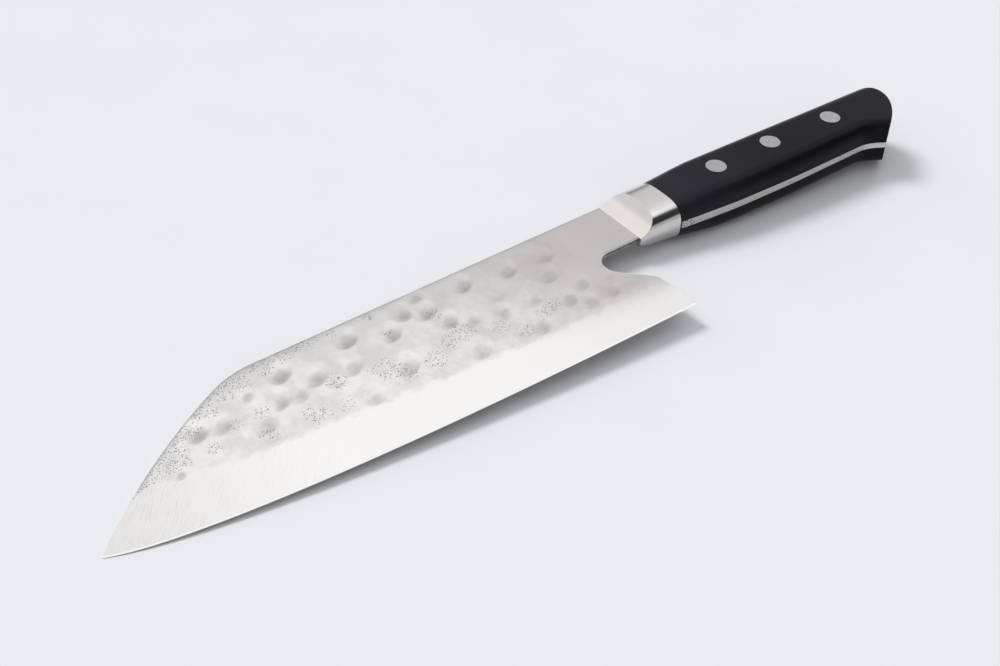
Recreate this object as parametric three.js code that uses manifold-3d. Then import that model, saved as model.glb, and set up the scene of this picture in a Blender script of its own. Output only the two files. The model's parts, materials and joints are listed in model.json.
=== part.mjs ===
// Santoku knife: a laminated, hammered blade, a one-piece bolster, and two scales riveted to a full tang.
// Millimetres. The knife is drawn with x = 0 at the front of the bolster and the butt towards +X,
// y = 0 along the spine of the blade with the edge towards -Y, and its left side towards +Z.
// At the end it is laid on its right side, resting on its tip and its handle, with +Z up.
import * as THREE from "three";
import { mergeVertices } from "three/addons/utils/BufferGeometryUtils.js";
import Module from "manifold-3d";

const wasm = await Module();
wasm.setup();

const { lerp, smoothstep, clamp, degToRad } = THREE.MathUtils;

// Blade outline
const TIP_REACH = 175.7; // from the bolster forward to the tip
const TIP_DROP = 36.1; // from the spine line down to the tip
const SHOULDER_REACH = 116.4; // from the bolster to where the spine turns down
const SHOULDER_RADIUS = 28;
const TIP_LINE_RADIUS = 200; // the long curve from the shoulder to the tip
const HEEL_REACH = 6.2; // from the bolster to the rear of the heel
const HEEL_DROP = 48.3; // from the spine line down to the edge at the heel
const EDGE_FLAT = 64; // how far the edge holds the heel's direction
const EDGE_SWEEP = 23; // how far it holds the tip's direction
const EDGE_TIP_ANGLE = degToRad(25);

// Finger notch and neck
const NECK_HEIGHT = 17.5;
const NOTCH_REACH = 16.2; // from the bolster to the bottom of the notch
const NOTCH_RADIUS = 5;
const HEEL_TOP_REACH = 6.9; // where the rear of the heel turns forward into the notch
const HEEL_TOP_DROP = 34.1;
const HEEL_TOP_EASE = 1.8; // length of that turn

// Blade thickness, grinding and hammering
const NECK_THICKNESS = 2.2;
const TIP_THICKNESS = 1.2;
const CORE_THICKNESS = 0.7;
const HEEL_GRIND = 11.5; // height of the ground bevel at the heel
const TIP_GRIND = 18.8; // and at the tip
const HONED_HEIGHT = 0.5; // the honed strip along the edge
const HONED_THICKNESS = 0.24; // blade thickness at the top of that strip
const FORGED_SPARE = 2; // how much of the blank the grinding takes off below the edge
const PEEN_RADIUS = 24; // ball of the hammer

// Bolster and tenons
const BOLSTER_LENGTH = 14.8;
const LAND_WIDTH = 2.9; // width of the bolster's front, where it meets the blade
const COVE_LENGTH = 6.8; // length of the hollow in front
const COVE_HEIGHT = 6; // distance of its rear end from the middle of the knife
const COVE_SAG = 0.7; // depth of the hollow
const TENON_TOP_DROP = 2.8; // the tenons, below the spine line
const TENON_BOTTOM_DROP = 15.2;

// Handle
const HANDLE_REACH = 109.6; // from the front of the bolster to the end of the butt
const FRONT_THICKNESS = 12;
const GRIP_THICKNESS = 15;
const SWELL_LENGTH = 33; // over which the handle reaches its full thickness
const FRONT_ROUND = 6; // rounding of the long edges
const GRIP_ROUND = 4.3;
const FRONT_TOP_DROP = 0.5; // upper line of the handle, below the spine line
const BUTT_TOP_DROP = 3.4;
const FRONT_BELLY_DROP = 18.8; // lower line of the handle, at the front
const PALM_BELLY_DROP = 21.4; // where it has fallen behind the bolster
const PALM_REACH = 40; // where that fall ends
const GRIP_BELLY_DROP = 22.4; // at its full depth
const DEEPENING_START = 25; // where it falls on to its full depth
const DEEPENING_END = 65;
const FLARE_REACH = 91.4; // where the belly turns down towards the beak
const FLARE_EASE = 3.2; // half the length of that turn
const FLARE_ANGLE = degToRad(30);
const BUTT_RUN = 11; // rounding of the butt, along the handle
const BUTT_RISE = 6.8; // and across it
const BUTT_FULLNESS = 7.5; // how far the butt runs square before it sweeps to the beak
const BEAK_REACH = 96.5; // corner between the butt and the belly
const BEAK_DROP = 25.8;

// Tang and rivets
const TANG_FRONT_THICKNESS = 2.6;
const TANG_BUTT_THICKNESS = 1.7;
// Each rivet's distance behind the front of the bolster, and below the spine line.
const RIVETS = { front: [36.4, 10.6], middle: [59.1, 10.6], rear: [84.6, 11.6] };
const HEAD_RADIUS = 3.2;
const HEAD_DEPTH = 2.2;
const SOCKET_RADIUS = 2.3;
const POST_RADIUS = 1.5;

// Clearances
const SEAM = 0.05; // between the forged layers
const WELD = 0.1; // between the bolster and what is welded into it or glued behind it
const GLUE = 0.1; // between the tang and the scales
const FIT = 0.1; // round the rivets

// Facets
const BLADE_STEP = 4.5;
const GRIP_STEP = 6;
const BUTT_STEP = 2;
const CORNER_STEPS = 5;
const COVE_FACETS = 72;
const RIVET_FACETS = 24;
const BLOW_FACETS = 10;
const BLOW_RINGS = [0, 0.5, 1, 1.5]; // circles round the middle of a blow, as shares of its radius
const CURVE_STEPS = 8;
const BEYOND = 60; // how far cutting shapes run past what they cut
const SAME_POINT = 1e-4; // points closer than this are one
const HALVINGS = 40; // of the range in which a value is looked for
const STEEPEST_REST = degToRad(45); // the pitch of the knife at rest is less than this

// Hammer blows on the left side: distance ahead of the bolster, distance below the spine, radius.
const BLOWS = [
  [18, 27, 2.4], [21, 31, 2.8], [23, 5, 2.4], [26, 24, 2.6], [27, 8.5, 3], [29, 31.5, 2.8],
  [31, 15.5, 3], [33, 27, 3], [39, 7.5, 3], [41, 22, 2.6], [46, 31.5, 3], [47, 13, 3.6],
  [51, 21.5, 2.6], [53, 5.5, 3], [60, 19, 2.8], [65, 15.5, 3], [65, 29.5, 3.4], [66.5, 2.5, 2.6],
  [68, 9, 3], [73, 6, 3], [80, 11, 3], [84, 23.5, 3.6], [91, 6, 3.2], [95.5, 16, 3],
  [97, 28.5, 3], [105, 13.5, 3.4], [112, 7.5, 3.2], [111.5, 17, 2.8], [117, 16, 3], [123, 10, 2],
  [123.5, 20.5, 3.4], [133, 15, 3], [139, 14, 3], [149, 24.5, 1.8],
];
// The right side has the same blows turned end for end: a mark's two distances add up to this.
const HAMMERED_ENDS = 165;

const TENON_LENGTH = (BOLSTER_LENGTH - WELD) / 2;
const flat = (x, y) => new THREE.Vector2(x, y);
const space = (x, y, z) => new THREE.Vector3(x, y, z);

// The geometry as a solid that can be cut and joined.
function solid(geometry) {
  const bare = geometry.clone().deleteAttribute("normal").deleteAttribute("uv");
  const merged = mergeVertices(bare, SAME_POINT);
  const vertProperties = merged.attributes.position.array;
  const triVerts = new Uint32Array(merged.index.array);
  return new wasm.Manifold(new wasm.Mesh({ numProp: 3, vertProperties, triVerts }));
}

// The solid as a named mesh.
function piece(name, body, finish) {
  const made = body.getMesh();
  const geometry = new THREE.BufferGeometry();
  geometry.setAttribute("position", new THREE.BufferAttribute(made.vertProperties, 3));
  geometry.setIndex(new THREE.BufferAttribute(made.triVerts, 1));
  geometry.computeVertexNormals();
  const mesh = new THREE.Mesh(geometry, finish);
  mesh.name = name;
  return mesh;
}

// A piece of the right side, from a solid of the left side.
function mirrored(name, body, finish) {
  const mesh = piece(name, body, finish);
  mesh.scale.z = -1;
  return mesh;
}

// A closed skin over rings of equally many points, in order towards +X, each ring turning from +Y to +Z.
function loft(rings) {
  const count = rings[0].length;
  const last = (rings.length - 1) * count;
  const faces = [];
  for (let start = 0; start < last; start += count) {
    for (let i = 0; i < count; i++) {
      const j = (i + 1) % count;
      faces.push(start + i, start + j, start + count + j);
      faces.push(start + i, start + count + j, start + count + i);
    }
  }
  for (let i = 1; i + 1 < count; i++) {
    faces.push(0, i + 1, i);
    faces.push(last, last + i, last + i + 1);
  }
  return solid(new THREE.BufferGeometry().setFromPoints(rings.flat()).setIndex(faces));
}

// A shape given thickness about z = 0.
function plate(shape, depth) {
  const settings = { depth, bevelEnabled: false, curveSegments: CURVE_STEPS };
  return new THREE.ExtrudeGeometry(shape, settings).translate(0, 0, -depth / 2);
}

// A box between two values of x, two of y, and a half thickness either side of z = 0.
function box(x0, x1, y0, y1, half) {
  const made = new THREE.BoxGeometry(x1 - x0, y1 - y0, 2 * half);
  return solid(made.translate((x0 + x1) / 2, (y0 + y1) / 2, 0));
}

// A turned solid about the z axis at x, y, from a profile of radii and heights.
function turned(profile, facets, x, y) {
  const made = new THREE.LatheGeometry(profile, facets).rotateX(Math.PI / 2);
  return solid(made.translate(x, y, 0));
}

// Evenly spaced values from one end to the other, no further apart than the step.
function spread(from, to, step) {
  const count = Math.ceil((to - from) / step);
  return Array.from({ length: count + 1 }, (_, i) => lerp(from, to, i / count));
}

// The point where a line from outside touches a circle, clockwise of the line from its centre.
function touch(from, centre, radius) {
  const away = from.clone().sub(centre);
  const angle = away.angle() - Math.acos(radius / away.length());
  return flat(centre.x + radius * Math.cos(angle), centre.y + radius * Math.sin(angle));
}

// The centre of a wide arc that leaves a smaller arc smoothly and runs on to a point.
function wideCentre(to, centre, radius, wide) {
  const away = to.clone().sub(centre);
  const apart = wide - radius;
  const bend = Math.acos((apart ** 2 + away.lengthSq() - wide ** 2) / (2 * apart * away.length()));
  const angle = away.angle() + bend;
  return flat(centre.x + apart * Math.cos(angle), centre.y + apart * Math.sin(angle));
}

// Blade

const TIP = flat(-TIP_REACH, -TIP_DROP);
const HEEL = flat(-HEEL_REACH, -HEEL_DROP);
const heelArm = flat(HEEL.x - EDGE_FLAT, HEEL.y);
const tipArm = flat(EDGE_SWEEP, 0).rotateAround(flat(0, 0), -EDGE_TIP_ANGLE).add(TIP);
const edgeCurve = new THREE.CubicBezierCurve(HEEL, heelArm, tipArm, TIP);

const bladeHalf = (x) => lerp(NECK_THICKNESS, TIP_THICKNESS, -x / TIP_REACH) / 2;

// The forged blank in side view. It runs below the edge, so that grinding alone makes the edge.
function blankOutline() {
  const shoulder = flat(-SHOULDER_REACH, -SHOULDER_RADIUS);
  const wide = wideCentre(TIP, shoulder, SHOULDER_RADIUS, TIP_LINE_RADIUS);
  const turn = shoulder.clone().sub(wide).angle();
  const spoke = TIP.clone().sub(wide);
  const point = flat(-spoke.y, spoke.x).setLength(FORGED_SPARE).add(TIP);
  const notch = flat(NOTCH_RADIUS - NOTCH_REACH, -NECK_HEIGHT - NOTCH_RADIUS);
  const heelTop = flat(-HEEL_TOP_REACH, -HEEL_TOP_DROP);
  const rear = HEEL.clone().sub(heelTop);
  const below = rear.clone().setLength(FORGED_SPARE).add(HEEL);
  const corner = rear.setLength(HEEL_TOP_EASE).add(heelTop);
  const entry = touch(heelTop, notch, NOTCH_RADIUS);
  const eased = entry.clone().sub(heelTop).setLength(HEEL_TOP_EASE).add(heelTop);
  const shape = new THREE.Shape();
  shape.moveTo(-WELD, 0);
  shape.lineTo(-SHOULDER_REACH, 0);
  shape.absarc(shoulder.x, shoulder.y, SHOULDER_RADIUS, Math.PI / 2, turn);
  shape.absarc(wide.x, wide.y, TIP_LINE_RADIUS, turn, spoke.angle());
  shape.lineTo(point.x, point.y);
  shape.lineTo(tipArm.x, tipArm.y - FORGED_SPARE);
  shape.lineTo(heelArm.x, heelArm.y - FORGED_SPARE);
  shape.lineTo(below.x, below.y);
  shape.lineTo(corner.x, corner.y);
  shape.quadraticCurveTo(heelTop.x, heelTop.y, eased.x, eased.y);
  shape.absarc(notch.x, notch.y, NOTCH_RADIUS, entry.sub(notch).angle(), Math.PI / 2, true);
  shape.lineTo(-WELD, -NECK_HEIGHT);
  shape.lineTo(-WELD, -TENON_BOTTOM_DROP);
  shape.lineTo(TENON_LENGTH, -TENON_BOTTOM_DROP);
  shape.lineTo(TENON_LENGTH, -TENON_TOP_DROP);
  shape.lineTo(-WELD, -TENON_TOP_DROP);
  return shape;
}

// One layer of the blank, between two heights that may change along x.
function layer(bottom, top) {
  const sheet = plate(blankOutline(), 1);
  const points = sheet.attributes.position;
  for (let i = 0; i < points.count; i++) {
    const height = points.getZ(i) < 0 ? bottom : top;
    points.setZ(i, height(points.getX(i)));
  }
  return solid(sheet);
}

// The edge at x, level behind the heel and ahead of the tip.
function edgeAt(x) {
  let low = 0;
  let high = 1;
  for (let i = 0; i < HALVINGS; i++) {
    const middle = (low + high) / 2;
    if (edgeCurve.getPoint(middle).x > x) low = middle;
    else high = middle;
  }
  return edgeCurve.getPoint(high).y;
}

// The wedge that grinding leaves: two bevels, and the honed strip where they meet.
function grinding() {
  const stations = spread(TIP.x, TENON_LENGTH + BLADE_STEP, BLADE_STEP);
  const rings = [TIP.x - BLADE_STEP, ...stations].map((x) => {
    const edge = edgeAt(x);
    const along = (x - HEEL.x) / (TIP.x - HEEL.x);
    const honed = HONED_THICKNESS / 2;
    const slope = (bladeHalf(x) - honed) / (lerp(HEEL_GRIND, TIP_GRIND, along) - HONED_HEIGHT);
    const strip = edge + HONED_HEIGHT;
    const wide = honed + slope * BEYOND;
    return [
      space(x, edge, 0),
      space(x, strip, -honed),
      space(x, strip + BEYOND, -wide),
      space(x, strip + BEYOND, wide),
      space(x, strip, honed),
    ];
  });
  return loft(rings);
}

// The ball of the hammer, pressed into the left side until its mark has the given radius.
function blow(reach, drop, radius) {
  const rise = (out) => PEEN_RADIUS - Math.sqrt(PEEN_RADIUS ** 2 - out ** 2);
  const bottom = bladeHalf(-reach) - rise(radius);
  const profile = BLOW_RINGS.map((share) => flat(radius * share, bottom + rise(radius * share)));
  profile.push(flat(0, profile.at(-1).y));
  return turned(profile, BLOW_FACETS, -reach, -drop);
}

// The layer on the left side, hammered and then ground.
function cladding(blows) {
  let left = layer(() => CORE_THICKNESS / 2 + SEAM, bladeHalf);
  for (const [reach, drop, radius] of blows) left = left.subtract(blow(reach, drop, radius));
  return left.intersect(grinding());
}

// The hard layer in the middle, which the grinding brings to an edge.
function core() {
  const half = CORE_THICKNESS / 2;
  return layer(() => -half, () => half).intersect(grinding());
}

// Handle

const swellAt = (x) => smoothstep(x, 0, SWELL_LENGTH);
const gripHalf = (x) => lerp(FRONT_THICKNESS, GRIP_THICKNESS, swellAt(x)) / 2;
const tangHalf = (x) => lerp(TANG_FRONT_THICKNESS, TANG_BUTT_THICKNESS, x / HANDLE_REACH) / 2;
const topAt = (x) => -lerp(FRONT_TOP_DROP, BUTT_TOP_DROP, x / HANDLE_REACH);

function bellyAt(x) {
  const palm = lerp(FRONT_BELLY_DROP, PALM_BELLY_DROP, smoothstep(x, 0, PALM_REACH));
  const deeper = smoothstep(x, DEEPENING_START, DEEPENING_END);
  const belly = palm + (GRIP_BELLY_DROP - PALM_BELLY_DROP) * deeper;
  const past = x - FLARE_REACH;
  const bend = (clamp(past, -FLARE_EASE, FLARE_EASE) + FLARE_EASE) ** 2 / (4 * FLARE_EASE);
  return -belly - Math.tan(FLARE_ANGLE) * (bend + Math.max(0, past - FLARE_EASE));
}

// A rounded rectangle across the handle at x.
function section(x) {
  const round = lerp(FRONT_ROUND, GRIP_ROUND, swellAt(x));
  const depth = Math.min(round, gripHalf(x) - GLUE);
  const high = topAt(x) - round;
  const low = bellyAt(x) + round;
  const side = gripHalf(x) - depth;
  const corners = [[high, side], [low, side], [low, -side], [high, -side]];
  return corners.flatMap(([y, z], quarter) =>
    Array.from({ length: CORNER_STEPS + 1 }, (_, i) => {
      const angle = (quarter + i / CORNER_STEPS) * (Math.PI / 2);
      return space(x, y + round * Math.cos(angle), z + depth * Math.sin(angle));
    }),
  );
}

// What the butt leaves of the handle in side view, from the spine round to the beak.
function buttOutline() {
  const start = HANDLE_REACH - BUTT_RUN;
  const middle = topAt(start) - BUTT_RISE;
  const shape = new THREE.Shape();
  shape.moveTo(-BEYOND, BEYOND);
  shape.lineTo(start, BEYOND);
  shape.absellipse(start, middle, BUTT_RUN, BUTT_RISE, Math.PI / 2, 0, true);
  shape.quadraticCurveTo(HANDLE_REACH, middle - BUTT_FULLNESS, BEAK_REACH, -BEAK_DROP);
  shape.lineTo(BEAK_REACH, -BEYOND);
  shape.lineTo(-BEYOND, -BEYOND);
  return shape;
}

// The bolster, tang and scales as one ground shape. They are cut from it, so they meet flush.
function handleShape() {
  const flare = FLARE_REACH - FLARE_EASE;
  const grip = spread(0, flare, GRIP_STEP).slice(0, -1);
  const butt = spread(flare, HANDLE_REACH + BUTT_STEP, BUTT_STEP);
  const end = solid(plate(buttOutline(), 2 * GRIP_THICKNESS));
  return loft([...grip, ...butt].map(section)).intersect(end);
}

// The part of a solid between two values of x and two heights that may change along x.
function between(body, from, to, bottom, top) {
  const rings = [from, to].map((x) => [
    space(x, -BEYOND, bottom(x)),
    space(x, BEYOND, bottom(x)),
    space(x, BEYOND, top(x)),
    space(x, -BEYOND, top(x)),
  ]);
  return body.intersect(loft(rings));
}

// The ground hollow in front of the bolster, on the left side for 1 and on the right side for -1.
function cove(side) {
  const front = flat(0, LAND_WIDTH / 2);
  const chord = flat(COVE_LENGTH, COVE_HEIGHT).sub(front);
  const radius = (chord.lengthSq() / 4 + COVE_SAG ** 2) / (2 * COVE_SAG);
  const out = flat(-chord.y, chord.x).setLength(radius - COVE_SAG);
  const axis = chord.multiplyScalar(0.5).add(front).add(out);
  const wheel = new THREE.CylinderGeometry(radius, radius, 2 * BEYOND, COVE_FACETS);
  return solid(wheel.translate(axis.x, 0, side * axis.y));
}

// The slot in the bolster for one of the tenons.
function tenonSlot(from, to, half) {
  return box(from, to, -TENON_BOTTOM_DROP - WELD, -TENON_TOP_DROP + WELD, half + WELD);
}

function bolster(shape) {
  const middle = BOLSTER_LENGTH / 2;
  const body = between(shape, 0, BOLSTER_LENGTH, () => -GRIP_THICKNESS, () => GRIP_THICKNESS);
  return body
    .subtract(cove(1))
    .subtract(cove(-1))
    .subtract(tenonSlot(-WELD, middle + WELD, bladeHalf(TENON_LENGTH)))
    .subtract(tenonSlot(middle, BOLSTER_LENGTH + WELD, tangHalf(0)));
}

// The holes for a rivet's head and shank on the left side, and for its shank through the tang.
function rivetHoles(body) {
  for (const [reach, drop] of Object.values(RIVETS)) {
    const seat = gripHalf(reach) - HEAD_DEPTH - FIT;
    const profile = [
      flat(0, -BEYOND),
      flat(SOCKET_RADIUS + FIT, -BEYOND),
      flat(SOCKET_RADIUS + FIT, seat),
      flat(HEAD_RADIUS + FIT, seat),
      flat(HEAD_RADIUS + FIT, BEYOND),
      flat(0, BEYOND),
    ];
    body = body.subtract(turned(profile, RIVET_FACETS, reach, -drop));
  }
  return body;
}

function tang(shape) {
  const shoulder = BOLSTER_LENGTH + WELD;
  const front = BOLSTER_LENGTH - TENON_LENGTH;
  const plain = between(shape, front, HANDLE_REACH + BEYOND, (x) => -tangHalf(x), tangHalf);
  const cut = plain
    .subtract(box(-BEYOND, shoulder, -TENON_TOP_DROP, BEYOND, BEYOND))
    .subtract(box(-BEYOND, shoulder, -BEYOND, -TENON_BOTTOM_DROP, BEYOND));
  return rivetHoles(cut);
}

function scale(shape) {
  const start = BOLSTER_LENGTH + WELD;
  const inner = (x) => tangHalf(x) + GLUE;
  return rivetHoles(between(shape, start, HANDLE_REACH + BEYOND, inner, () => GRIP_THICKNESS));
}

// The half of a rivet with the post, whose head is on the left side, ground flush with the scale.
function rivetPost(shape, reach, drop) {
  const seat = gripHalf(reach) - HEAD_DEPTH;
  const profile = [
    flat(0, FIT - seat),
    flat(POST_RADIUS, FIT - seat),
    flat(POST_RADIUS, seat),
    flat(HEAD_RADIUS, seat),
    flat(HEAD_RADIUS, BEYOND),
    flat(0, BEYOND),
  ];
  return turned(profile, RIVET_FACETS, reach, -drop).intersect(shape);
}

// The half that the post is pressed into, with its head on the right side.
function rivetSocket(shape, reach, drop) {
  const seat = gripHalf(reach) - HEAD_DEPTH;
  const bore = POST_RADIUS + FIT;
  const profile = [
    flat(0, -BEYOND),
    flat(HEAD_RADIUS, -BEYOND),
    flat(HEAD_RADIUS, -seat),
    flat(SOCKET_RADIUS, -seat),
    flat(SOCKET_RADIUS, seat - FIT),
    flat(bore, seat - FIT),
    flat(bore, -seat),
    flat(0, -seat),
  ];
  return turned(profile, RIVET_FACETS, reach, -drop).intersect(shape);
}

// Assembly

function finish(color, roughness, metalness) {
  return new THREE.MeshStandardMaterial({ color, roughness, metalness });
}

const groundSteel = finish(0xe4e3e1, 0.32, 1);
const hammeredSteel = finish(0xc4c1bf, 0.42, 1);
const polishedSteel = finish(0xcfc9c4, 0.16, 1);
const tangSteel = finish(0xb4b3b2, 0.34, 1);
const rivetSteel = finish(0xa9a6aa, 0.36, 1);
const blackScale = finish(0x1b1b1f, 0.3, 0);

function assembled() {
  const knife = new THREE.Group();
  const shape = handleShape();
  const otherBlows = BLOWS.map(([reach, drop, radius]) => [HAMMERED_ENDS - reach, drop, radius]);
  knife.add(
    piece("blade_core", core(), groundSteel),
    piece("cladding_left", cladding(BLOWS), hammeredSteel),
    mirrored("cladding_right", cladding(otherBlows), hammeredSteel),
    piece("bolster", bolster(shape), polishedSteel),
    piece("tang", tang(shape), tangSteel),
    piece("scale_left", scale(shape), blackScale),
    mirrored("scale_right", scale(shape), blackScale),
  );
  for (const [place, [reach, drop]] of Object.entries(RIVETS)) {
    knife.add(
      piece(`rivet_post_${place}`, rivetPost(shape, reach, drop), rivetSteel),
      piece(`rivet_socket_${place}`, rivetSocket(shape, reach, drop), rivetSteel),
    );
  }
  return knife;
}

// The pitch at which the blade and the handle both reach down to the surface that the knife lies on.
function restingPitch(knife) {
  const points = knife.children.flatMap((mesh) => {
    const { position } = mesh.geometry.attributes;
    return Array.from({ length: position.count }, (_, i) =>
      flat(position.getX(i), mesh.scale.z * position.getZ(i)),
    );
  });
  const lowest = (side, pitch) =>
    points.reduce((least, { x, y }) => {
      if (Math.sign(x) !== side) return least;
      return Math.min(least, x * Math.sin(pitch) + y * Math.cos(pitch));
    }, Infinity);
  let low = 0;
  let high = STEEPEST_REST;
  for (let i = 0; i < HALVINGS; i++) {
    const middle = (low + high) / 2;
    if (lowest(-1, middle) > lowest(1, middle)) low = middle;
    else high = middle;
  }
  return low;
}

// Lays the knife on Z = 0, with the origin under the middle of its box.
function laidDown(knife) {
  knife.rotation.y = -restingPitch(knife);
  const bounds = new THREE.Box3().setFromObject(knife, true);
  const middle = bounds.getCenter(new THREE.Vector3());
  knife.position.set(-middle.x, -middle.y, -bounds.min.z);
  return new THREE.Group().add(knife);
}

export default laidDown(assembled());
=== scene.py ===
import json
import math
from contextlib import contextmanager

import bmesh
import bpy
import numpy as np
from mathutils import Matrix, Vector


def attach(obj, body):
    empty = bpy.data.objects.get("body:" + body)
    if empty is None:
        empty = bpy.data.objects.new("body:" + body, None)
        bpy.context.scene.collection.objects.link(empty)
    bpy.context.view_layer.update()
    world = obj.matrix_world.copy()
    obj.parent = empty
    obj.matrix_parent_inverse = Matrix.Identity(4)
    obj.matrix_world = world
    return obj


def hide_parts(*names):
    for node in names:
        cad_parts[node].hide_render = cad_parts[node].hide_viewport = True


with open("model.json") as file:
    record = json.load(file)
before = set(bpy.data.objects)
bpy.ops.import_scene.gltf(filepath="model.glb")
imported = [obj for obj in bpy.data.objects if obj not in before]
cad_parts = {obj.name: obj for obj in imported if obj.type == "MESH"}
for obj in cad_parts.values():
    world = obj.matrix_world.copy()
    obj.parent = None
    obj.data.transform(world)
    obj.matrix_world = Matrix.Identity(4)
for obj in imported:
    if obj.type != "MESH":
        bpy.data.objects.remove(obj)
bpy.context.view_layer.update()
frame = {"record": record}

bl_info = {
    "name": "Santoku knife",
    "version": (1, 0, 0),
    "blender": (4, 5, 0),
    "location": "View3D > Sidebar > Knife",
    "description": "Models a hammered kitchen knife and its studio over the packed frame",
    "category": "Object",
}

MM = 0.001
BODY = "root"

# The knife is modelled with the bolster's front at x = 0, the spine at y = 0, the edge towards -Y and
# its left side towards +Z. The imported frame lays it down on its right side.
GRIP_POINT = Vector((47.7, -11, 7.5)) * MM

# Hammer blows on the left side in mm: ahead of the bolster, below the spine, radius of the mark.
# The last number is how hard the blow was.
BLOWS = [
    (18.5, 26.5, 2.6, 0.8), (21.5, 30.5, 3, 1.15), (23.5, 4.5, 2.6, 0.55), (26.5, 23.5, 2.9, 0.9),
    (27.5, 8, 3.3, 0.9), (29.5, 31, 3, 1), (31.5, 15, 3.5, 0.85), (33.5, 26.5, 3.3, 1),
    (39.5, 7, 3.3, 1.05), (41.5, 21.5, 2.9, 0.75), (46.5, 31, 3.3, 0.85), (47.5, 12.5, 3.9, 0.4),
    (51.5, 21, 2.9, 0.8), (53.5, 5, 3.3, 1.15), (60.5, 18.5, 3, 0.8), (65.5, 15, 3.3, 1.1),
    (65.5, 29, 3.7, 0.7), (67, 2, 2.9, 0.9), (68.5, 8.5, 3.3, 0.95), (73.5, 5.5, 3.3, 0.95),
    (80.5, 10.5, 3.3, 1.1), (84.5, 23, 3.9, 0.8), (91.5, 5.5, 3.5, 1.05), (96, 15.5, 3.3, 0.8),
    (97.5, 28, 3.3, 0.6), (105.5, 13, 3.7, 0.85), (112.5, 7, 3.5, 1.05), (112, 16.5, 3, 0.75),
    (117.5, 15.5, 3.3, 0.8), (123.5, 9.5, 2.2, 0.9), (124, 20, 3.7, 0.65), (133.5, 14.5, 3.3, 0.65),
    (139.5, 13.5, 3.3, 0.85), (149.5, 24, 1.9, 1),
]
# Wide shallow dents on the left side in mm: ahead of the bolster, below the spine, radius, depth.
DENTS = [
    (48.5, 15, 8, 0.26), (29, 20, 9, 0.18), (37, 14, 8, 0.16), (58, 11, 8, 0.18), (76, 17, 9, 0.16),
    (89, 12, 8, 0.14), (104, 23, 8, 0.14), (127, 14, 7, 0.12), (20, 12, 9, 0.1),
]
# Patches of black forge scale on the left side in mm: ahead of the bolster, below the spine, radius.
SCALE_PATCHES = [
    (94, 2, 2.4), (101, 1.8, 3), (108, 2, 3.6), (115, 2.6, 4.4), (122, 4.4, 4.6), (128, 6.4, 3.6),
    (134, 9, 3.8), (140, 12.6, 3.2), (146, 16.6, 4), (151, 19.8, 4.2), (155, 22.4, 2.6), (147, 21, 3.4),
    (139, 21.3, 3), (131, 17, 2.6), (126, 25, 3.4), (123, 17.4, 3.4), (112, 25.2, 5), (102, 18.4, 4),
    (105, 27, 3), (89, 22.3, 6), (86, 26, 4), (77, 26.4, 4.6), (70, 23, 4), (65, 21.5, 5), (56, 25.9, 3.6),
    (51, 30.7, 3.8), (43, 28, 3), (39, 26.8, 3.6), (82, 1.8, 2.2), (67, 11, 3), (81, 10, 2.4),
]
# The right side has the same marks, turned end for end about the middle of this length.
HAMMERED_ENDS = 165 * MM

# Rivets in mm: behind the bolster's front, below the spine.
RIVETS = {"front": (36.4, 10.6), "middle": (59.1, 10.6), "rear": (84.6, 11.6)}

# Fineness of the meshes
SHEET_CELL = 0.5 * MM
OUTLINE_STEP = 0.6 * MM
SPINE_STEPS = 24
HEEL_STEPS = 16
EASE_STEPS = 9
EDGE_STEPS = 400
GRIND_STEP = 2 * MM
RING_STEP = 1.5 * MM
CORNER_STEPS = 12
SIDE_STEPS = 14
BUTT_STEPS = 16
RIM_SEGMENTS = 4
SEAM_SEGMENTS = 2
RIVET_FACETS = 56
COVE_FACETS = 256
HALVINGS = 40
# Edges below this length go once the blade is cut.
LEAST_EDGE = 0.001 * MM

# The forged slab reaches this far ahead of the bolster, below the spine and above it.
SLAB_REACH = 178 * MM
SLAB_DROP = 50.5 * MM
SLAB_RISE = 2 * MM
# Spare steel round the edge of the blank, and the end of it that goes into the bolster
SPARE = 2 * MM
TAIL = 0.4 * MM
# The rounding of the notch's rims fades over these lengths: above the neck's belly, ahead of the notch.
NECK_FADE = 3 * MM
NOTCH_FADE = (10 * MM, 2 * MM)
# A face of the blank is a wall up to this slope, and one of the notch from this share of its rounding.
WALL_SLOPE = 0.1
NOTCH_SHARE = 0.9
# Levels of the grinding wedge over the honed strip
GRIND_LEVELS = np.array([0, 3, 6, 9, 12, 15, 18, 21, 60]) * MM
# Slope above which a face of the wedge belongs to the honed strip
HONED_SLOPE = math.sin(math.radians(8))
# Behind this length the rings of the handle bend to the shape of the butt.
PLANAR_REACH = 84 * MM
# Least width left flat between two rounded corners of the handle
LEAST_FLAT = 0.1 * MM
# Least bend at the rim of the butt that is rounded
RIM_BEND = math.radians(40)
# An end of a rivet has more than this of its normal along the rivet.
LEVEL_SLOPE = 0.9
# Drum that hollows the bolster: its length, and how far its middle lies below the spine
DRUM_LENGTH = 60 * MM
DRUM_DROP = 10 * MM

# Slant at which the hammer's blows slipped, and how far that drew out their marks
SLIP = math.radians(49)
SLIP_STRETCH = 1.35
# Radius in mm of the mark that is as deep as the peen depth
PEEN_RADIUS = 3
# How far towards the edge the painted shade of a blow lies from its middle, as a share of its radius
MARK_SHADE_SHIFT = 0.3
# Where a blow's painted shade and a patch of scale start and end to fade, as shares of their radius
MARK_SHADE_FADE = (0.1, 0.9)
PATCH_FADE = (0.3, 1.4)
# Scale along the tip line: its fade inwards, where it sets in ahead of the bolster in mm, its strength
RIM_SCALE_FADE = (1.5 * MM, 5 * MM)
RIM_SCALE_START = (85, 105)
RIM_SCALE_STRENGTH = 1.1
# Width of the darkest part of the painted shade line along the spine
RIM_SHADE_CORE = 0.15 * MM

# Direction from the knife to the lamp
LAMP_SIDE = Vector((-0.25, 0.58, 0.78))
SENSOR_WIDTH = 36
CLIP_START = 10 * MM

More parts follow.
